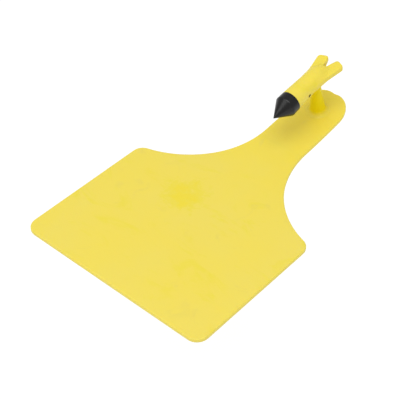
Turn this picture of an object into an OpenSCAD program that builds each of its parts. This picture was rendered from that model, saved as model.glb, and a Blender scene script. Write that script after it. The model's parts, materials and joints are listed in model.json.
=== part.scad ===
// One-piece livestock ear tag: a flat moulded flap that narrows to a neck and a
// round pad, with a flexible post on the pad, a cross barrel on the post, two
// wings behind and a hard pointed tip in front.
// The moulding is one piece of elastomer that moves by bending. Each stretch
// that bends against its neighbour is a node of its own here, and meets it in a
// round knuckle on the line where the real moulding flexes.

/* [Flap] */
// Full width across the bottom edge
panel_w = 76; // [60:0.5:90]
// Full width just below the shoulders
shoulder_w = 75.1; // [60:0.1:90]
// Thickness of flap, neck and pad
sheet_t = 1.6; // [1.2:0.1:2.2]
// Radius of the bottom corners
bottom_r = 4.4; // [2:0.1:8]
// Radius of the shoulder corners
shoulder_r = 4.1; // [2:0.1:8]

/* [Neck and pad] */
// Distance from the bottom edge to the narrowest line of the neck
neck_y = 88; // [84:0.5:92]
// Full width of the neck
neck_w = 18.4; // [16:0.1:20]
// Radius of the hollow curve from shoulder to neck
sweep_r = 34.9; // [32:0.1:36]
// Radius of the round pad under the post
pad_r = 10; // [9.6:0.1:11]
// Distance from the bottom edge to the line where the sheet starts to curl up
curl_y = 65.8; // [62:0.1:70]
// Radius of that curl, measured on the underside
curl_r = 234.6; // [200:0.1:400]
// Radius of the small finger notch in the pad's outer edge
notch_r = 4; // [3:0.1:6]
// Depth of the notch
notch_deep = 0.4; // [0.2:0.05:0.8]

/* [Post] */
// Distance from the bottom edge to the foot of the post
post_y = 105.9; // [105:0.1:107]
// Lean of the post and barrel with the curled pad, in degrees
post_tilt = 11; // [8:0.5:13]
// Radius of the flared foot on the pad
foot_r = 4.2; // [3.8:0.1:4.6]
// Radius of the post above its foot
post_low_r = 2.4; // [2.3:0.05:2.6]
// Radius of the straight stretch that the ear turns on
post_r = 2.2; // [2:0.05:2.25]
// Radius of the post under the barrel
post_top_r = 1.9; // [1.7:0.05:2]

/* [Barrel] */
// Height of the barrel's axis above the pad
barrel_h = 16.6; // [16:0.1:18]
// Radius at the front, against the tip
barrel_front_r = 3.95; // [3.6:0.05:4.1]
// Radius where the wings start
barrel_back_r = 3.4; // [3.2:0.05:3.6]
// Distance from the post's axis to the front face
barrel_front = 13; // [12:0.1:13.5]
// Radius of the bore that takes the applicator's pin
bore_r = 1; // [0.8:0.05:1.3]

/* [Tip] */
// Length of the tip's cylindrical collar
collar_l = 3.1; // [2.5:0.1:4]
// Radius of the collar at the edge of the cone
collar_r = 4.02; // [3.95:0.01:4.2]
// Length of the cone in front of the collar
cone_l = 6.4; // [5:0.1:8]
// Length of the shank that is locked inside the barrel
shank_l = 6.2; // [5.5:0.1:6.4]
// Radius of the shank
shank_r = 1.86; // [1.6:0.01:1.9]

/* [Wings] */
// Thickness of the wings
wing_t = 2.2; // [1.8:0.1:2.5]
// Full width of one wing
wing_w = 4.1; // [3.6:0.1:4.4]
// Length of a wing from its flexing line to its end
wing_l = 4.7; // [3:0.1:6]
// Angle between a wing and the barrel
wing_splay = 16; // [12:1:18]

/* [Hidden] */
$fn = 96;

yellow = [0.953, 0.867, 0.353];
black = [0.16, 0.155, 0.155];

// running gap in a knuckle, and the gap between flat faces that turn
knuckle_gap = 0.08;
face_gap = 0.04;

// the sheet's plan outline: arcs of the right half, from the bottom edge up
half_w = panel_w / 2;
sweep_x = neck_w / 2 + sweep_r;
shoulder_x = shoulder_w / 2 - shoulder_r;
shoulder_y = neck_y - sqrt(pow(sweep_r + shoulder_r, 2) - pow(sweep_x - shoulder_x, 2));
shoulder_a = atan2(neck_y - shoulder_y, sweep_x - shoulder_x);
notch_c = pad_r - notch_deep + notch_r;
notch_y = (pow(pad_r, 2) - pow(notch_r, 2) + pow(notch_c, 2)) / (2 * notch_c);
notch_a = acos(notch_y / pad_r);
notch_in = asin(pad_r * sin(notch_a) / notch_r);
side_a = acos(neck_w / 2 / pad_r);
total_l = post_y + notch_y;

// the two lines where the sheet flexes, and how far the sheet is up there
flex_low_y = 76;
flex_high_y = 94;
sheet_end = 125;

// heights on the post, and where the wings flex behind the barrel
lean_h = 3;
lean_ball_r = 2.45;
foot_top = lean_h - 0.5;
straight_h = 4.5;
twist_h = 8;
tilt_h = 12.9;
tilt_ball_r = 2;
wing_root = -1.3;
ridge_end = 4.6;
ridge_r = 1.95;
wing_low = -1.4;
wing_pivot = [2.5, 5.4];
tail_end = wing_pivot.y - 0.3;
tail_half = [3.05, 4.45];
lock_hole = [0.4, 7.4, 95];

function lift(y) = y < curl_y ? 0 : curl_r - sqrt(pow(curl_r, 2) - pow(y - curl_y, 2));
function slope(y) = y < curl_y ? 0 : asin((y - curl_y) / curl_r);
function arc(c, r, from, to, steps) =
    [for (i = [0:steps]) c + r * [cos(from + (to - from) * i / steps), sin(from + (to - from) * i / steps)]];
function mirrored(points) = [for (i = [len(points) - 1:-1:0]) [-points[i].x, points[i].y]];

half_outline = concat(
    arc([half_w - bottom_r, bottom_r], bottom_r, -90, 0, 12),
    arc([shoulder_x, shoulder_y], shoulder_r, 0, shoulder_a, 12),
    arc([sweep_x, neck_y], sweep_r, 180 + shoulder_a, 180, 30),
    arc([0, post_y], pad_r, side_a, 90 - notch_a, 16),
    arc([0, post_y + notch_c], notch_r, -90 + notch_in, -90, 4));

// ---------- frames ----------

// the bottom edge of the flap to the middle of the whole tag
module in_row() {
    translate([0, -total_l / 2, 0]) children();
}

// the foot of the post, on the pad's upper face
module on_pad() {
    translate([0, post_y, lift(post_y) + sheet_t]) rotate([post_tilt, 0, 0]) children();
}

// the barrel's axis, with +Y towards the wings
module on_barrel() {
    on_pad() translate([0, 0, barrel_h]) children();
}

// ---------- the sheet ----------

module sheet() {
    bottom = [for (y = [-1, curl_y, each [ceil(curl_y):1:sheet_end]]) [y, lift(y)]];
    top = [for (i = [len(bottom) - 1:-1:0])
        bottom[i] + sheet_t * [-sin(slope(bottom[i].x)), cos(slope(bottom[i].x))]];
    intersection() {
        linear_extrude(40, center = true) polygon(concat(half_outline, mirrored(half_outline)));
        rotate([90, 0, 90]) linear_extrude(panel_w + 10, center = true) polygon(concat(bottom, top));
    }
}

// the frame of a flexing line, in the middle of the sheet's thickness
module at_flex(y) {
    translate([0, y, lift(y)]) rotate([slope(y), 0, 0]) translate([0, 0, sheet_t / 2]) children();
}

// everything on the flap's side of a flexing line, less the room for the knuckle
module before_flex(y) {
    difference() {
        at_flex(y) translate([-60, -130, -30]) cube([120, 130, 60]);
        at_flex(y) rotate([0, 90, 0]) cylinder(r = sheet_t / 2 + knuckle_gap, h = 130, center = true);
    }
}

// everything past a flexing line, with the round knuckle on its edge
module after_flex(y) {
    at_flex(y) translate([-60, 0, -30]) cube([120, 130, 60]);
    at_flex(y) rotate([0, 90, 0]) cylinder(r = sheet_t / 2 - 0.02, h = 130, center = true);
}

module panel() {
    color(yellow) in_row() intersection() {
        sheet();
        before_flex(flex_low_y);
    }
}

module neck() {
    color(yellow) in_row() intersection() {
        sheet();
        after_flex(flex_low_y);
        before_flex(flex_high_y);
    }
}

module head_pad() {
    color(yellow) in_row() intersection() {
        sheet();
        after_flex(flex_high_y);
    }
}

// ---------- the post ----------

module post_foot() {
    flare = [for (a = [0:15:90]) [foot_r - (foot_r - 2.95) * sin(a), foot_top * (1 - cos(a))]];
    color(yellow) in_row() difference() {
        on_pad() rotate_extrude() polygon(concat([[0, -0.6], [foot_r, -0.6]], flare, [[0, foot_top]]));
        on_pad() translate([0, 0, lean_h]) sphere(r = lean_ball_r + knuckle_gap);
        sheet();
    }
}

module post_lower() {
    color(yellow) in_row() on_pad() {
        translate([0, 0, lean_h]) sphere(r = lean_ball_r);
        translate([0, 0, lean_h]) cylinder(r1 = post_low_r, r2 = post_r, h = straight_h - lean_h);
        translate([0, 0, straight_h]) cylinder(r = post_r, h = twist_h - straight_h);
    }
}

module post_upper() {
    color(yellow) in_row() on_pad() {
        translate([0, 0, twist_h + face_gap])
            cylinder(r1 = post_r, r2 = post_top_r, h = tilt_h - twist_h - face_gap);
        translate([0, 0, tilt_h]) sphere(r = tilt_ball_r);
    }
}

// ---------- the barrel, its tip and its wings ----------

// a cone along the barrel's axis between two places
module along(from, to, r1, r2) {
    translate([0, from, 0]) rotate([-90, 0, 0]) cylinder(r1 = r1, r2 = r2, h = to - from);
}

module barrel_body() {
    along(-barrel_front, wing_root, barrel_front_r, barrel_back_r);
    along(wing_root, ridge_end, barrel_back_r, ridge_r);
    translate([0, 0, wing_low]) linear_extrude(wing_t) polygon([
        [-tail_half[0], wing_root], [tail_half[0], wing_root],
        [tail_half[1], tail_end], [-tail_half[1], tail_end]]);
}

module applicator_bore() {
    along(-barrel_front + shank_l - 0.2, ridge_end + 1, bore_r, bore_r);
}

// room between the wings for the applicator's pin, on its way into the bore
module pin_way() {
    half = bore_r + knuckle_gap;
    translate([-half, wing_root, -half]) cube([2 * half, 12, 6]);
}

module barrel() {
    color(yellow) in_row() difference() {
        on_barrel() barrel_body();
        on_barrel() along(-barrel_front - 1, -barrel_front + shank_l, shank_r + 0.04, shank_r + 0.04);
        on_barrel() applicator_bore();
        on_pad() translate([0, 0, tilt_h]) sphere(r = tilt_ball_r + knuckle_gap);
        for (side = [-1, 1]) {
            on_barrel() translate([side * wing_pivot.x, wing_pivot.y, wing_low - 2])
                cylinder(r = wing_w / 2 + knuckle_gap, h = 2 + wing_t + knuckle_gap);
            on_barrel() translate([0, -lock_hole[1], 0]) rotate([0, side * lock_hole[2], 0])
                cylinder(r = lock_hole[0], h = 6);
        }
    }
}

module tip() {
    color(black) in_row() on_barrel() {
        along(-barrel_front, -barrel_front + shank_l - face_gap, shank_r, shank_r);
        along(-barrel_front - collar_l, -barrel_front, collar_r, barrel_front_r);
        along(-barrel_front - collar_l - cone_l, -barrel_front - collar_l, 0.12, collar_r);
    }
}

module wing(side) {
    color(yellow) in_row() difference() {
        on_barrel() translate([side * wing_pivot.x, wing_pivot.y, wing_low]) rotate([0, 0, -side * wing_splay])
            linear_extrude(wing_t) {
                circle(r = wing_w / 2);
                translate([-wing_w / 2 + 0.02, 0]) square([wing_w - 0.04, wing_l - 1]);
                translate([-wing_w / 2 + 1, 0]) square([wing_w - 2, wing_l]);
                for (corner = [-1, 1]) translate([corner * (wing_w / 2 - 1.02), wing_l - 1]) circle(r = 1);
            }
        on_barrel() pin_way();
    }
}

module wing_left() {
    wing(-1);
}

module wing_right() {
    wing(1);
}

panel();
neck();
head_pad();
post_foot();
post_lower();
post_upper();
barrel();
tip();
wing_left();
wing_right();
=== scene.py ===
"""One-piece livestock ear tag: a yellow moulded flap with a neck, pad and post, and a cross
barrel on the post that ends in a hard black point. Lengths are in millimetres until a mesh
is made."""

import json
import math

import bmesh
import bpy
import numpy as np
import openvdb
from mathutils import Matrix, Vector, geometry


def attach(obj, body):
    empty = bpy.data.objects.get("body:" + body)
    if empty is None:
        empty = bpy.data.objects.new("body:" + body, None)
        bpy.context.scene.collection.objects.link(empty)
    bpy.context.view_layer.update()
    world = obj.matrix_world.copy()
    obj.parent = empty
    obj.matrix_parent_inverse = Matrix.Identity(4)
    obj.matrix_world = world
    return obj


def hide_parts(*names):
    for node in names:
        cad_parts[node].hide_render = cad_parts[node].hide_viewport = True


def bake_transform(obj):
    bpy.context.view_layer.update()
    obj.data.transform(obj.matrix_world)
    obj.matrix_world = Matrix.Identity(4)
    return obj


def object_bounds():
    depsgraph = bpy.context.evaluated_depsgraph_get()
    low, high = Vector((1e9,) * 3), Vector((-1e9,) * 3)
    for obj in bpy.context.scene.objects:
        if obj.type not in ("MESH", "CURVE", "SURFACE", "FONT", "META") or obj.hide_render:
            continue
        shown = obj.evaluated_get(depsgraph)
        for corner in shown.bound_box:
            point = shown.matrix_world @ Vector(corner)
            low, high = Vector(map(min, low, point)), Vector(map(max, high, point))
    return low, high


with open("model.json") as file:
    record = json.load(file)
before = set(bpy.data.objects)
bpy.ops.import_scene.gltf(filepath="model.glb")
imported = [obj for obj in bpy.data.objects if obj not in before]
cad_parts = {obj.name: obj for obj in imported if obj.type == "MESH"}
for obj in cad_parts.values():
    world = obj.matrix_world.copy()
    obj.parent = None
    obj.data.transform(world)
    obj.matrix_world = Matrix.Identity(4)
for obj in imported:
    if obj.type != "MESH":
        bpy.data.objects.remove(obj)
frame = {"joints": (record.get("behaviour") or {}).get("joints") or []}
CAD_BOX = [list(corner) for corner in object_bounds()]
JOINTS = {joint["name"]: joint for joint in frame["joints"]}
MM = 0.001

# ---------- sizes ----------

# the sheet: plan outline, thickness and the curl towards the pad
HALF_LENGTH = CAD_BOX[1][1] / MM
PANEL_HALF = CAD_BOX[1][0] / MM
SHOULDER_HALF = 37.55
BOTTOM_R = 4.4
SHOULDER_R = 4.1
NECK_Y = 88.0
NECK_HALF = 9.2
SWEEP_R = 34.9
POST_Y = 105.9
PAD_LONG = 9.98
PAD_POWER = 2.25
NOTCH_DEEP = 0.4
NOTCH_WIDE = 1.5
SHEET_T = 1.6
CURL_Y = 65.8
CURL_R = 234.6
EDGE_R = 0.42
GATE = np.array([-8.7, 44.4])
GATE_R = 1.5

# the post, in its own frame: x across, s along the barrel, h up the post from the pad
LEAN_H = 3.0
POST_TOP_R = 1.9
POST_TAPER = 0.06
POST_TOP_H = 12.0
FOOT_H = 2.4
FOOT_FLARE = 1.3
FOOT_POWER = 2.2
FOOT_SWELL = 0.45
FOOT_SWELL_H = 2.5
BARREL_H = 16.6

# the barrel, its bore, its wings and its point
BARREL_FRONT = -13.0
BARREL_FRONT_R = 3.95
BARREL_END = 5.2
BARREL_PROFILE = (  # place along the axis, radius
    (BARREL_FRONT, BARREL_FRONT_R),
    (-1.3, 3.4),
    (1.5, 3.1),
    (3.4, 2.55),
    (BARREL_END, 1.6),
)
BORE_R = 1.0
SHANK_END = -6.8
SHANK_R = 1.86
LOCK_S = -7.4
LOCK_R = 0.45
LOCK_TURN = math.radians(95)
LOCK_BOTTOM = 2.4
WING_LOW = -1.45
WING_T = 2.25
WING_OUTER = ((3.3, -1.3), (0.9804, -0.197))  # a point on the edge, the way out of the wing
WING_INNER = ((1.8, 10.3), (-0.9397, 0.342))
WING_END = ((5.5, 9.3), (0.363, 0.932))
WING_ROOT = -3.0
COLLAR_L = 3.1
COLLAR_R = 4.02
CONE_L = 6.4
POINT_EDGE = 0.22
POINT_R = 0.16

# where the moulding is cut into pieces, each in a stretch that follows one body only
SHEET_CUT = 85.0
POST_CUTS = (5.4, 10.2)
WING_CUT = 6.0
WING_SPLAY = math.radians(16)

POST_X = np.array([1.0, 0.0, 0.0])
POST_UP = np.array(JOINTS["post_twist"]["axis"], float)
POST_UP /= np.linalg.norm(POST_UP)
POST_S = np.cross(POST_UP, POST_X)
POST_FOOT = np.array(JOINTS["post_lean"]["pos_m"]) / MM - LEAN_H * POST_UP


def from_post(points):
    """Points given as x, s, h in the post's frame, in the row frame."""
    points = np.asarray(points, float)
    return POST_FOOT + points @ np.array([POST_X, POST_S, POST_UP])


def lift(y):
    """Height of the sheet's underside at a distance from the bottom edge."""
    past = np.maximum(np.asarray(y, float) - CURL_Y, 0)
    return CURL_R - np.sqrt(CURL_R**2 - past**2)


def top_lift(y):
    """Height of the sheet's upper face there."""
    past = np.maximum(np.asarray(y, float) - CURL_Y, 0)
    inner = CURL_R - SHEET_T
    return CURL_R - np.sqrt(inner**2 - past**2)


# ---------- mesh tools ----------


def make_object(name, points, faces, smooth=True):
    """A mesh object from points in millimetres, and faces as lists of indices."""
    mesh = bpy.data.meshes.new(name)
    mesh.from_pydata((np.asarray(points) * MM).tolist(), [], [list(map(int, f)) for f in faces])
    mesh.validate()
    mesh.polygons.foreach_set("use_smooth", [smooth] * len(mesh.polygons))
    obj = bpy.data.objects.new(name, mesh)
    bpy.context.scene.collection.objects.link(obj)
    return obj


def keep_side(mesh_bm, place, normal):
    """Cuts a closed mesh with a plane, keeps what is behind it and closes the cut."""
    cut = bmesh.ops.bisect_plane(
        mesh_bm,
        geom=mesh_bm.verts[:] + mesh_bm.edges[:] + mesh_bm.faces[:],
        dist=1e-8,
        plane_co=Vector(place) * MM,
        plane_no=Vector(normal),
        clear_outer=True,
    )
    rim = [e for e in cut["geom_cut"] if isinstance(e, bmesh.types.BMEdge) and e.is_boundary]
    filled = bmesh.ops.triangle_fill(mesh_bm, edges=rim, use_beauty=True)
    for item in filled["geom"]:
        if isinstance(item, bmesh.types.BMFace):
            item.smooth = False
    for edge in rim:
        edge.smooth = False


def cut_piece(source, name, planes, side=0):
    """A new closed object: what of source is behind every plane, on one side of x = 0 if asked."""
    bm = bmesh.new()
    bm.from_mesh(source.data)
    for place, normal in planes:
        keep_side(bm, place, normal)
    if side:
        far = [v for v in bm.verts if v.co.x * side < -1e-7]
        bmesh.ops.delete(bm, geom=far, context="VERTS")
    bmesh.ops.recalc_face_normals(bm, faces=bm.faces)
    mesh = bpy.data.meshes.new(name)
    bm.to_mesh(mesh)
    bm.free()
    obj = bpy.data.objects.new(name, mesh)
    bpy.context.scene.collection.objects.link(obj)
    return obj


def remember_rest(obj):
    """Stores each point's place at rest, in millimetres, so that textures follow a bend."""
    count = len(obj.data.vertices)
    places = np.zeros(count * 3, np.float32)
    obj.data.vertices.foreach_get("co", places)
    layer = obj.data.attributes.new("rest_mm", "FLOAT_VECTOR", "POINT")
    layer.data.foreach_set("vector", places / MM)


def walls(rows, count):
    """The quads that join closed rings of count points each, one ring after the other."""
    faces = []
    for row in range(rows - 1):
        low, high = row * count, (row + 1) * count
        for i in range(count):
            j = (i + 1) % count
            faces.append([low + i, low + j, high + j, high + i])
    return faces


def lathe(profile, turns=96):
    """A closed solid of revolution about the third axis, from (radius, height) pairs."""
    angles = np.arange(turns) * 2 * math.pi / turns
    rings = [
        np.stack([r * np.cos(angles), r * np.sin(angles), np.full(turns, h)], 1)
        for r, h in profile
    ]
    return np.concatenate(rings), walls(len(profile), turns)


# ---------- the sheet: flap, neck and pad ----------


def arc(centre, radius, start, stop, step):
    """Points of an arc, about step apart; the angles are in degrees."""
    count = max(2, int(abs(math.radians(stop - start)) * radius / step))
    turn = np.radians(np.linspace(start, stop, count + 1))
    return np.stack([centre[0] + radius * np.cos(turn), centre[1] + radius * np.sin(turn)], 1)


def sheet_outline(step=0.6):
    """The plan outline, anticlockwise from the middle of the bottom edge."""
    sweep_x = NECK_HALF + SWEEP_R
    shoulder_x = SHOULDER_HALF - SHOULDER_R
    rise = math.sqrt((SWEEP_R + SHOULDER_R) ** 2 - (sweep_x - shoulder_x) ** 2)
    turn = math.degrees(math.atan2(rise, sweep_x - shoulder_x))
    around = np.linspace(0, math.pi / 2, 48)
    pad = np.stack(
        [
            NECK_HALF * np.cos(around) ** (2 / PAD_POWER),
            PAD_LONG * np.sin(around) ** (2 / PAD_POWER),
        ],
        1,
    )
    pad[:, 1] -= NOTCH_DEEP * np.exp(-((pad[:, 0] / NOTCH_WIDE) ** 2))
    pad[:, 1] += POST_Y
    right = np.concatenate(
        [
            [[0.0, 0.0]],
            arc((PANEL_HALF - BOTTOM_R, BOTTOM_R), BOTTOM_R, -90, 0, step),
            arc((shoulder_x, NECK_Y - rise), SHOULDER_R, 0, turn, step),
            arc((sweep_x, NECK_Y), SWEEP_R, 180 + turn, 180, step),
            pad,
        ]
    )
    return even_spacing(right, step)


def even_spacing(right, step):
    """The right half's points set evenly along its length, then mirrored to close the outline."""
    gaps = np.linalg.norm(np.diff(right, axis=0), axis=1)
    along = np.concatenate([[0], np.cumsum(gaps)])
    places = np.linspace(0, along[-1], int(along[-1] / step) + 1)
    half = np.stack([np.interp(places, along, right[:, i]) for i in range(2)], 1)
    return np.concatenate([half, half[-2:0:-1] * [-1, 1]])


def outward(outline):
    """Unit normals of a closed anticlockwise outline."""
    along = np.roll(outline, -1, 0) - np.roll(outline, 1, 0)
    along /= np.linalg.norm(along, axis=1)[:, None]
    return np.stack([along[:, 1], -along[:, 0]], 1)


def inner_points(ring, spacing=1.25, margin=0.7):
    """A staggered grid of points well inside a ring."""
    low, high = ring.min(0), ring.max(0)
    rows = np.arange(low[1] + spacing, high[1], spacing * 0.87)
    grid = []
    for n, y in enumerate(rows):
        shift = spacing / 2 if n % 2 else 0
        crossings = ring_crossings(ring, y)
        if crossings is None:
            continue
        left, right = crossings[0] + margin, crossings[1] - margin
        xs = np.arange(-60, 60, spacing) + shift
        grid.extend([x, y] for x in xs[(xs > left) & (xs < right)])
    grid = np.array(grid)
    gap = np.sqrt(((grid[:, None, :] - ring[None, ::2, :]) ** 2).sum(2)).min(1)
    return grid[gap > margin]


def ring_crossings(ring, y):
    """Where a level line crosses a ring: the outermost two places."""
    a, b = ring, np.roll(ring, -1, 0)
    hit = (a[:, 1] <= y) != (b[:, 1] <= y)
    if not hit.any():
        return None
    share = (y - a[hit, 1]) / (b[hit, 1] - a[hit, 1])
    xs = a[hit, 0] + share * (b[hit, 0] - a[hit, 0])
    return xs.min(), xs.max()


def ripple(x, y):
    """The slight unevenness of a cooled moulding's face, in millimetres."""
    waves = 0.020 * np.sin(0.105 * x + 0.9) * np.cos(0.081 * y - 0.4)
    waves += 0.012 * np.sin(0.21 * x - 0.17 * y + 1.7)
    waves += 0.006 * np.sin(0.43 * x + 0.37 * y) * np.cos(0.31 * x - 0.29 * y)
    return waves


def gate_mark(x, y):
    """The shallow round dimple and lip left where the plastic went in, in millimetres."""
    away = np.hypot(x - GATE[0], y - GATE[1])
    dimple = -0.07 * np.exp(-((away / GATE_R) ** 4))
    lip = 0.035 * np.exp(-(((away - GATE_R * 1.25) / 0.45) ** 2))
    return dimple + lip


def build_sheet():
    """Flap, neck and pad as one closed mesh with rounded edges."""
    outline = sheet_outline()
    normals = outward(outline)
    turns = np.radians(np.linspace(0, 90, 6))
    profile = [(EDGE_R * (1 - math.sin(a)), EDGE_R * (1 - math.cos(a))) for a in turns]
    levels = profile + [(0.0, SHEET_T / 2)] + [(inset, SHEET_T - z) for inset, z in profile[::-1]]
    rings = [(outline - inset * normals, z) for inset, z in levels]
    count = len(outline)
    flat = []
    height = []
    for ring, z in rings:
        flat.extend(ring)
        height.extend([z] * count)
    faces = walls(len(rings), count)
    inside = inner_points(rings[-1][0])
    sheet_faces(rings[-1][0], inside, flat, height, faces, SHEET_T, (len(rings) - 1) * count, False)
    sheet_faces(rings[0][0], inside, flat, height, faces, 0.0, 0, True)
    flat = np.array(flat)
    share = np.array(height) / SHEET_T
    x, y = flat[:, 0], flat[:, 1]
    z = lift(y) * (1 - share) + top_lift(y) * share
    top = np.array(height) > SHEET_T - 1e-6
    z = z + np.where(top, ripple(x, y) + gate_mark(x, y), 0.0)
    return make_object("sheet", np.stack([x, y - HALF_LENGTH, z], 1), faces)


def sheet_faces(ring, inside, flat, height, faces, z, ring_start, downward):
    """Fills one face of the sheet with triangles between its rim and the inner points."""
    count = len(ring)
    points = [Vector(p) for p in np.concatenate([ring, inside])]
    edges = [(i, (i + 1) % count) for i in range(count)]
    made = geometry.delaunay_2d_cdt(points, edges, [], 1, 1e-5)
    first = len(flat)
    flat.extend(inside)
    height.extend([z] * len(inside))

    def number(i):
        return ring_start + i if i < count else first + i - count

    for triangle in made[2]:
        indices = [number(made[3][i][0]) for i in triangle]
        faces.append(indices[::-1] if downward else indices)


# ---------- the post, the barrel and the wings ----------


def soft_min(a, b, k):
    """The lower of two distances, with a fillet of about k between the shapes."""
    near = np.maximum(k - np.abs(a - b), 0) / k
    return np.minimum(a, b) - near * near * k / 4


def soft_max(a, b, k):
    """The higher of two distances, with the corner between them rounded."""
    return -soft_min(-a, -b, k)


def post_radius(h):
    """The post's radius at a height: a slight taper and a flared foot."""
    straight = POST_TOP_R + POST_TAPER * (POST_TOP_H - h)
    up = np.clip(1 - np.asarray(h) / FOOT_H, 0, 1)
    swell = FOOT_SWELL * np.exp(-np.maximum(h, 0) / FOOT_SWELL_H)
    return straight + swell + FOOT_FLARE * (1 - np.sqrt(1 - up**FOOT_POWER))


def barrel_radius(s):
    """The barrel's radius along its axis: tapered to the post, then rounded off behind it."""
    return np.interp(s, *zip(*BARREL_PROFILE))


def slab(plan, z, half, edge):
    """A plan shape given a thickness, with rounded edges."""
    a, b = plan + edge, np.abs(z) - half + edge
    return np.minimum(np.maximum(a, b), 0) + np.hypot(np.maximum(a, 0), np.maximum(b, 0)) - edge


def beyond(x, s, edge):
    """Distance in plan past a straight edge, given by a point on it and its outward normal."""
    place, normal = edge
    return (x - place[0]) * normal[0] + (s - place[1]) * normal[1]


def wing_plan(x, s):
    """Distance in plan from one wing: between its outer edge, inner edge and skewed end."""
    sides = soft_max(beyond(x, s, WING_OUTER), beyond(x, s, WING_INNER), 0.7)
    ends = soft_max(beyond(x, s, WING_END), WING_ROOT - s, 0.7)
    return soft_max(sides, ends, 1.1)


def bar_distance(x, s, h):
    """Distance from the barrel with its wings and the top of the post, in millimetres."""
    z = h - BARREL_H
    from_axis = np.hypot(x, z)
    tube = (from_axis - barrel_radius(s)) * 0.97
    tube = soft_max(soft_max(tube, s - BARREL_END, 0.9), BARREL_FRONT - s, 0.12)
    plan = soft_min(wing_plan(x, s), wing_plan(-x, s), 0.6)
    wings = slab(plan, z - WING_LOW - WING_T / 2, WING_T / 2, 0.55)
    body = soft_min(tube, wings, 1.6)
    post = np.maximum(np.hypot(x, s) - post_radius(h), z)
    body = soft_min(body, post, 1.5)
    bore = np.maximum(from_axis - BORE_R, SHANK_END - s)
    body = soft_max(body, -bore, 0.25)
    for side in (-1, 1):
        along = side * x * math.sin(LOCK_TURN) + z * math.cos(LOCK_TURN)
        across = side * x * math.cos(LOCK_TURN) - z * math.sin(LOCK_TURN)
        hole = np.maximum(np.hypot(across, s - LOCK_S) - LOCK_R, LOCK_BOTTOM - along)
        body = soft_max(body, -hole, 0.15)
    return body


def build_bar(voxel=0.15):
    """The barrel, the wings and the top of the post, as one mesh over their distance field."""
    low = np.array([-6.6, BARREL_FRONT - 0.6, POST_CUTS[1] - 1.2])
    high = np.array([6.6, 11.2, BARREL_H + 4.4])
    axes = [np.arange(low[i], high[i], voxel) for i in range(3)]
    x, s, h = np.meshgrid(*axes, indexing="ij")
    field = bar_distance(x, s, h)
    field = np.maximum(field, axes[2][2] - h)
    grid = openvdb.FloatGrid(3.0)
    grid.copyFromArray(field.astype(np.float32))
    points, quads = grid.convertToQuads(0.0)
    points = low + points.astype(float) * voxel
    points = settle(points, axes[2][2] + 2 * voxel)
    return make_object("bar", from_post(points), quads[:, ::-1])


def settle(points, floor):
    """Moves each point onto the exact surface, except on the flat end that is cut off later."""
    step = 0.01
    for _ in range(3):
        here = bar_distance(*points.T)
        slopes = []
        for axis in np.eye(3):
            ahead = bar_distance(*(points + step * axis).T)
            behind = bar_distance(*(points - step * axis).T)
            slopes.append((ahead - behind) / (2 * step))
        slope = np.stack(slopes, 1)
        size = np.maximum((slope**2).sum(1), 0.25)
        move = -(here / size)[:, None] * slope
        move = np.clip(move, -0.08, 0.08)
        move[points[:, 2] < floor] = 0
        points = points + move
    return points


def pad_rise(s):
    """How far the curled pad's face rises above the plane through the post's foot."""
    y = POST_Y + s * POST_S[1]
    return (top_lift(y) - POST_FOOT[2] - s * POST_S[2]) / POST_UP[2]


def build_post(name, low, high, bottom_h):
    """A stretch of the post as a solid of revolution, from low to high."""
    share = np.linspace(0, 1, max(8, int((high - low) / 0.08)))
    heights = low + (high - low) * share ** (1.8 if low == 0 else 1)
    profile = [(0.0, bottom_h)]
    if bottom_h < low:
        profile.append((float(post_radius(low)), bottom_h))
    profile += [(float(post_radius(h)), h) for h in heights] + [(0.0, high)]
    points, faces = lathe(profile)
    points[:, 2] += pad_rise(points[:, 1]) * np.exp(-np.maximum(points[:, 2], 0) / 0.8)
    obj = make_object(name, from_post(points), faces)
    weld(obj)
    sharpen(obj, 50)
    return obj


def weld(obj):
    """Joins the points that a solid of revolution puts in one place on its axis."""
    bm = bmesh.new()
    bm.from_mesh(obj.data)
    bmesh.ops.remove_doubles(bm, verts=bm.verts, dist=1e-7)
    bmesh.ops.recalc_face_normals(bm, faces=bm.faces)
    bm.to_mesh(obj.data)
    bm.free()


def sharpen(obj, degrees):
    """Marks the edges that are sharper than an angle, so that smooth shading stops there."""
    bm = bmesh.new()
    bm.from_mesh(obj.data)
    for edge in bm.edges:
        edge.smooth = len(edge.link_faces) == 2 and edge.calc_face_angle(0) < math.radians(degrees)
    bm.to_mesh(obj.data)
    bm.free()


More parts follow.
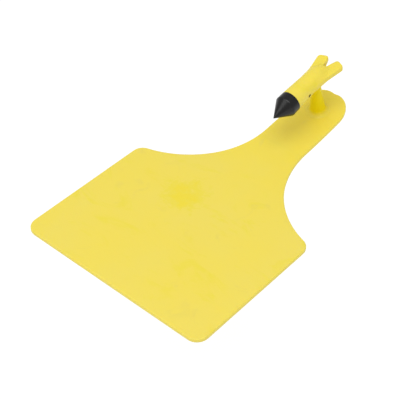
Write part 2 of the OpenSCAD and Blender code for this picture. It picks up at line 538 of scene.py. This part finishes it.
def build_point():
    """The black point: collar and cone outside, shank inside the barrel, slightly blunt edges."""
    edge = BARREL_FRONT - COLLAR_L
    nose = edge - CONE_L
    half = math.atan2(COLLAR_R, CONE_L)
    collar_start = BARREL_FRONT - 0.18
    collar_end = edge + POINT_EDGE
    profile = [
        (0.0, SHANK_END - 0.04),
        (SHANK_R - 0.25, SHANK_END - 0.04),
        (SHANK_R, SHANK_END - 0.3),
        (SHANK_R, BARREL_FRONT),
        (BARREL_FRONT_R - 0.17, BARREL_FRONT),
        (BARREL_FRONT_R - 0.05, BARREL_FRONT - 0.05),
        (BARREL_FRONT_R, collar_start),
    ]
    for share in np.linspace(0.1, 1, 10):
        r = BARREL_FRONT_R + (COLLAR_R - BARREL_FRONT_R) * share
        profile.append((r, collar_start + (collar_end - collar_start) * share))
    corner = np.array([COLLAR_R, edge])
    before = np.array([COLLAR_R, collar_end])
    after = corner + POINT_EDGE * np.array([-math.sin(half), -math.cos(half)])
    for t in np.linspace(0, 1, 6)[1:]:
        profile.append(tuple((1 - t) ** 2 * before + 2 * t * (1 - t) * corner + t**2 * after))
    blunt = np.array([POINT_R, nose + POINT_R * 0.8])
    for share in np.linspace(0.06, 1, 18):
        profile.append(tuple(after + share * (blunt - after)))
    profile += [(POINT_R * 0.6, nose + 0.04), (0.0, nose)]
    points, faces = lathe(profile)
    points = points[:, [0, 2, 1]] + [0.0, 0.0, BARREL_H]
    obj = make_object("point", from_post(points), faces)
    weld(obj)
    sharpen(obj, 40)
    return obj


# ---------- materials ----------


class Nodes:
    """A short way to build a material's nodes."""

    def __init__(self, name):
        self.material = bpy.data.materials.new(name)
        self.material.use_nodes = True
        self.tree = self.material.node_tree
        self.shader = self.tree.nodes["Principled BSDF"]
        place = self.add("ShaderNodeAttribute", attribute_name="rest_mm")
        self.place = place.outputs["Vector"]

    def add(self, kind, **settings):
        node = self.tree.nodes.new(kind)
        for key, value in settings.items():
            setattr(node, key, value)
        return node

    def link(self, a, b):
        self.tree.links.new(a, b)

    def put(self, socket, value):
        if isinstance(value, bpy.types.NodeSocket):
            self.link(value, socket)
        else:
            socket.default_value = value

    def noise(self, scale, detail=3.0, rough=0.5, stretch=(1, 1, 1), distortion=0.0):
        mapping = self.add("ShaderNodeMapping")
        self.link(self.place, mapping.inputs["Vector"])
        mapping.inputs["Scale"].default_value = stretch
        node = self.add("ShaderNodeTexNoise")
        self.link(mapping.outputs["Vector"], node.inputs["Vector"])
        node.inputs["Scale"].default_value = scale
        node.inputs["Detail"].default_value = detail
        node.inputs["Roughness"].default_value = rough
        node.inputs["Distortion"].default_value = distortion
        return node.outputs["Fac"]

    def math(self, operation, a, b=0.0):
        node = self.add("ShaderNodeMath", operation=operation)
        self.put(node.inputs[0], a)
        self.put(node.inputs[1], b)
        return node.outputs[0]

    def spread(self, value, low, high, to_low=0.0, to_high=1.0):
        node = self.add("ShaderNodeMapRange", interpolation_type="SMOOTHSTEP")
        self.put(node.inputs["Value"], value)
        node.inputs["From Min"].default_value = low
        node.inputs["From Max"].default_value = high
        node.inputs["To Min"].default_value = to_low
        node.inputs["To Max"].default_value = to_high
        return node.outputs["Result"]

    def mix(self, share, a, b):
        node = self.add("ShaderNodeMix", data_type="RGBA")
        self.put(node.inputs["Factor"], share)
        self.put(node.inputs["A"], a)
        self.put(node.inputs["B"], b)
        return node.outputs["Result"]

    def axis(self, letter):
        node = self.add("ShaderNodeSeparateXYZ")
        self.link(self.place, node.inputs[0])
        return node.outputs[letter]

    def away_from(self, centre):
        node = self.add("ShaderNodeVectorMath", operation="DISTANCE")
        self.link(self.place, node.inputs[0])
        node.inputs[1].default_value = centre
        return node.outputs["Value"]

    def in_post(self):
        """Where the post's painted shade goes: 1 in the slim stretch of the post between its flared
        foot and the barrel, 0 elsewhere.
        """
        from_foot = self.add("ShaderNodeVectorMath", operation="SUBTRACT")
        self.link(self.place, from_foot.inputs[0])
        from_foot.inputs[1].default_value = tuple(POST_FOOT)
        across = self.add("ShaderNodeVectorMath", operation="CROSS_PRODUCT")
        self.link(from_foot.outputs["Vector"], across.inputs[0])
        across.inputs[1].default_value = tuple(POST_UP)
        size = self.add("ShaderNodeVectorMath", operation="LENGTH")
        self.link(across.outputs["Vector"], size.inputs[0])
        along = self.add("ShaderNodeVectorMath", operation="DOT_PRODUCT")
        self.link(from_foot.outputs["Vector"], along.inputs[0])
        along.inputs[1].default_value = tuple(POST_UP)
        height = along.outputs["Value"]
        slim = self.spread(size.outputs["Value"], 2.8, 4.0, 1.0, 0.0)
        above = self.spread(height, 0.3, 2.2)
        below = self.spread(height, 12.4, 14.6, 1.0, 0.0)
        return self.math("MULTIPLY", slim, self.math("MULTIPLY", above, below))

    def in_lock_shade(self):
        """Where the lock holes' painted shade goes: 1 inside the mouths of the two small lock holes
        in the barrel's sides, 0 elsewhere.
        """
        wall = float(barrel_radius(LOCK_S))
        high = BARREL_H + wall * math.cos(LOCK_TURN)
        mouths = [from_post([side * wall * math.sin(LOCK_TURN), LOCK_S, high]) for side in (-1, 1)]
        left, right = (self.away_from(tuple(mouth)) for mouth in mouths)
        return self.spread(self.math("MINIMUM", left, right), 0.42, 0.95, 0.9, 0.0)

    def bump(self, height, strength, distance):
        node = self.add("ShaderNodeBump")
        self.link(height, node.inputs["Height"])
        node.inputs["Strength"].default_value = strength
        node.inputs["Distance"].default_value = distance
        self.link(node.outputs["Normal"], self.shader.inputs["Normal"])


# colours, in linear light
YELLOW = (0.825, 0.668, 0.064, 1)
YELLOW_DEEP = (0.765, 0.648, 0.026, 1)
YELLOW_DULL = (0.73, 0.600, 0.110, 1)
YELLOW_PALE = (0.80, 0.660, 0.101, 1)
YELLOW_GATE = (0.805, 0.650, 0.034, 1)
# painted shade of the post: a deep yellow without blue, as it looks under the barrel in yellow
# bounce light
YELLOW_POST_SHADE = (0.85, 0.675, 0.004, 1)
# painted shade inside the mouths of the lock holes
LOCK_SHADE = (0.13, 0.105, 0.02, 1)
BLACK = (0.0045, 0.0042, 0.0041, 1)
BLACK_WORN = (0.012, 0.0115, 0.0112, 1)


def yellow_material():
    """Satin yellow elastomer: faint mottling, a stain at the gate and a fine moulded skin."""
    m = Nodes("tag_yellow")
    gate_place = (GATE[0], GATE[1] - HALF_LENGTH, SHEET_T)
    ragged = m.math("MULTIPLY", m.noise(0.3, 4.0, 0.7), 22.0)
    from_gate = m.math("ADD", m.away_from(gate_place), m.math("SUBTRACT", ragged, 11.0))
    blotch = m.math("MULTIPLY", m.spread(from_gate, 4.8, 8.8, 1.0, 0.0), 0.45)
    core = m.math("MULTIPLY", m.spread(from_gate, 1.6, 5.4, 1.0, 0.0), 0.7)
    cloud = m.spread(m.noise(0.045, 3.0, 0.55, distortion=0.6), 0.35, 0.65)
    wisps = m.noise(0.085, 5.0, 0.62, stretch=(0.5, 1.0, 1.0), distortion=1.6)
    streak = m.spread(wisps, 0.52, 0.70)
    smudge = m.spread(m.noise(0.12, 4.0, 0.6, distortion=0.8), 0.60, 0.74)
    flap = m.spread(m.axis("Y"), 0.0, 28.0, 0.62, 0.0)
    pale = m.math("ADD", flap, m.math("MULTIPLY", cloud, 0.35))
    shade = m.mix(pale, YELLOW, YELLOW_PALE)
    shade = m.mix(m.math("MULTIPLY", streak, 0.46), shade, YELLOW_DEEP)
    shade = m.mix(m.math("MULTIPLY", smudge, 0.42), shade, YELLOW_DULL)
    shade = m.mix(blotch, shade, YELLOW_DEEP)
    shade = m.mix(core, shade, YELLOW_GATE)
    # painted shade on the post under the barrel: a deeper, blue-less yellow
    post_shade = m.in_post()
    shade = m.mix(post_shade, shade, YELLOW_POST_SHADE)
    # painted shade in the mouths of the two lock holes
    shade = m.mix(m.in_lock_shade(), shade, LOCK_SHADE)
    m.link(shade, m.shader.inputs["Base Color"])
    rough = m.math("ADD", m.math("MULTIPLY", m.noise(0.35, 4.0, 0.6), 0.12), 0.40)
    m.link(rough, m.shader.inputs["Roughness"])
    m.shader.inputs["Subsurface Weight"].default_value = 0.12
    m.shader.inputs["Subsurface Radius"].default_value = (1.0, 0.8, 0.1)
    m.shader.inputs["Subsurface Scale"].default_value = 0.0016
    # the post's painted shade also takes away some of its shine
    shine = m.math("SUBTRACT", 0.34, m.math("MULTIPLY", post_shade, 0.24))
    m.link(shine, m.shader.inputs["Specular IOR Level"])
    skin = m.math("ADD", m.noise(2.6, 3.0, 0.6), m.math("MULTIPLY", m.noise(9.0, 2.0, 0.5), 0.35))
    m.bump(skin, 0.16, 0.00008)
    return m.material


def black_material():
    """Hard black plastic with a soft gloss, fine turned lines from the mould and faint rubbing."""
    m = Nodes("tip_black")
    worn = m.spread(m.noise(0.9, 5.0, 0.65), 0.52, 0.75)
    m.link(m.mix(m.math("MULTIPLY", worn, 0.5), BLACK, BLACK_WORN), m.shader.inputs["Base Color"])
    rough = m.math("ADD", m.math("MULTIPLY", m.noise(1.6, 4.0, 0.6), 0.12), 0.23)
    m.link(rough, m.shader.inputs["Roughness"])
    m.shader.inputs["Specular IOR Level"].default_value = 0.36
    grain = m.math("ADD", m.noise(5.0, 3.0, 0.6), m.math("MULTIPLY", m.noise(1.1, 2.0, 0.5), 0.8))
    m.bump(grain, 0.15, 0.00008)
    return m.material


def floor_material():
    material = bpy.data.materials.new("floor")
    material.use_nodes = True
    shader = material.node_tree.nodes["Principled BSDF"]
    shader.inputs["Base Color"].default_value = (0.15, 0.15, 0.15, 1)
    shader.inputs["Roughness"].default_value = 0.9
    shader.inputs["Specular IOR Level"].default_value = 0.1
    shader.inputs["Emission Color"].default_value = (1, 1, 1, 1)
    shader.inputs["Emission Strength"].default_value = 0.92
    return material


# ---------- pieces ----------


def finish_piece(obj, material, nodes):
    obj.data.materials.clear()
    obj.data.materials.append(material)
    remember_rest(obj)
    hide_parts(*nodes)
    return obj


def add_sheet(material):
    """The flap up to the middle of the neck, and the rest of the neck with the pad."""
    whole = build_sheet()
    place = (0.0, SHEET_CUT - HALF_LENGTH, 0.0)
    flap = cut_piece(whole, "flap", [(place, (0, 1, 0))])
    pad = cut_piece(whole, "pad", [(place, (0, -1, 0))])
    bpy.data.objects.remove(whole)
    finish_piece(flap, material, ["panel", "neck"])
    finish_piece(pad, material, ["head_pad"])
    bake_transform(flap)
    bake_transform(pad)


def add_post(material):
    """The foot with the lower post, and the stem above it."""
    base = build_post("post_base", 0.0, POST_CUTS[0], -0.45)
    finish_piece(base, material, ["post_foot", "post_lower"])
    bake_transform(base)
    stem = build_post("post_stem", POST_CUTS[0], POST_CUTS[1], POST_CUTS[0])
    finish_piece(stem, material, ["post_upper"])
    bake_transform(stem)


def add_bar(material):
    """The barrel with the top of the post, and the two wings."""
    whole = build_bar()
    sharpen(whole, 55)
    under = (tuple(from_post([0, 0, POST_CUTS[1]])), tuple(-POST_UP))
    crotch = tuple(from_post([0, WING_CUT, BARREL_H]))
    across, along = math.sin(WING_SPLAY) * POST_X, math.cos(WING_SPLAY) * POST_S
    ahead = {side: side * across + along for side in (-1, 1)}
    planes = [under] + [(crotch, tuple(ahead[side])) for side in (-1, 1)]
    barrel = cut_piece(whole, "barrel_body", planes)
    finish_piece(barrel, material, ["barrel"])
    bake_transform(barrel)
    for side, word in ((-1, "left"), (1, "right")):
        wing = cut_piece(whole, "wing_" + word + "_skin", [(crotch, tuple(-ahead[side]))], side)
        finish_piece(wing, material, ["wing_" + word])
        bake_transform(wing)
    bpy.data.objects.remove(whole)


def add_point(material):
    point = build_point()
    finish_piece(point, material, ["tip"])
    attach(point, "barrel")


# ---------- camera, lights and floor ----------

TARGET = np.array([0.0, 55.0, 0.0])
AZIMUTH = math.radians(42.782)
ELEVATION = math.radians(43.257)
ROLL = math.radians(-1.309)
DISTANCE = 411.0
LENS = 110.3
SHIFT_RIGHT = 7.93
SHIFT_UP = 1.795


def add_camera():
    """A long lens from the front right, a little above 40 degrees up."""
    back = np.array(
        [
            math.sin(AZIMUTH) * math.cos(ELEVATION),
            -math.cos(AZIMUTH) * math.cos(ELEVATION),
            math.sin(ELEVATION),
        ]
    )
    right = np.array([math.cos(AZIMUTH), math.sin(AZIMUTH), 0.0])
    up = np.cross(back, right)
    right_rolled = math.cos(ROLL) * right + math.sin(ROLL) * up
    up_rolled = math.cos(ROLL) * up - math.sin(ROLL) * right
    target = TARGET - np.array([0.0, HALF_LENGTH, 0.0])
    place = target - right_rolled * SHIFT_RIGHT - up_rolled * SHIFT_UP + back * DISTANCE
    data = bpy.data.cameras.new("camera")
    data.lens = LENS
    data.sensor_width = 36
    data.clip_start = 0.01
    camera = bpy.data.objects.new("camera", data)
    bpy.context.scene.collection.objects.link(camera)
    turned = Matrix((right_rolled, up_rolled, back)).transposed().to_4x4()
    turned.translation = Vector(place * MM)
    camera.matrix_world = turned
    bpy.context.scene.camera = camera


def add_softbox(name, place, aim, size, power):
    data = bpy.data.lights.new(name, "AREA")
    data.shape = "RECTANGLE"
    data.size, data.size_y = size
    data.energy = power
    lamp = bpy.data.objects.new(name, data)
    bpy.context.scene.collection.objects.link(lamp)
    lamp.location = place
    lamp.rotation_euler = (Vector(aim) - Vector(place)).to_track_quat("-Z", "Y").to_euler()
    return lamp


def add_studio():
    """A light table some way below the tag, two soft boxes and an even white room."""
    bpy.ops.mesh.primitive_plane_add(size=6.0, location=(0, 0, -0.06))
    floor = bpy.context.object
    floor.name = "floor"
    floor.data.materials.append(floor_material())
    add_softbox("softbox_top", (0.2, -0.18, 0.88), (0, 0.02, 0), (0.6, 0.6), 3.4)
    add_softbox("softbox_front", (-0.14, -0.44, 0.8), (0, 0.04, 0.02), (0.6, 0.6), 1.9)
    world = bpy.data.worlds.new("room")
    world.use_nodes = True
    back = world.node_tree.nodes["Background"]
    back.inputs["Color"].default_value = (1, 1, 1, 1)
    back.inputs["Strength"].default_value = 0.595
    bpy.context.scene.world = world
    bpy.context.scene.view_settings.view_transform = "Standard"
    bpy.context.scene.view_settings.look = "None"


add_camera()
yellow = yellow_material()
black = black_material()
add_sheet(yellow)
add_post(yellow)
add_bar(yellow)
add_point(black)
add_studio()
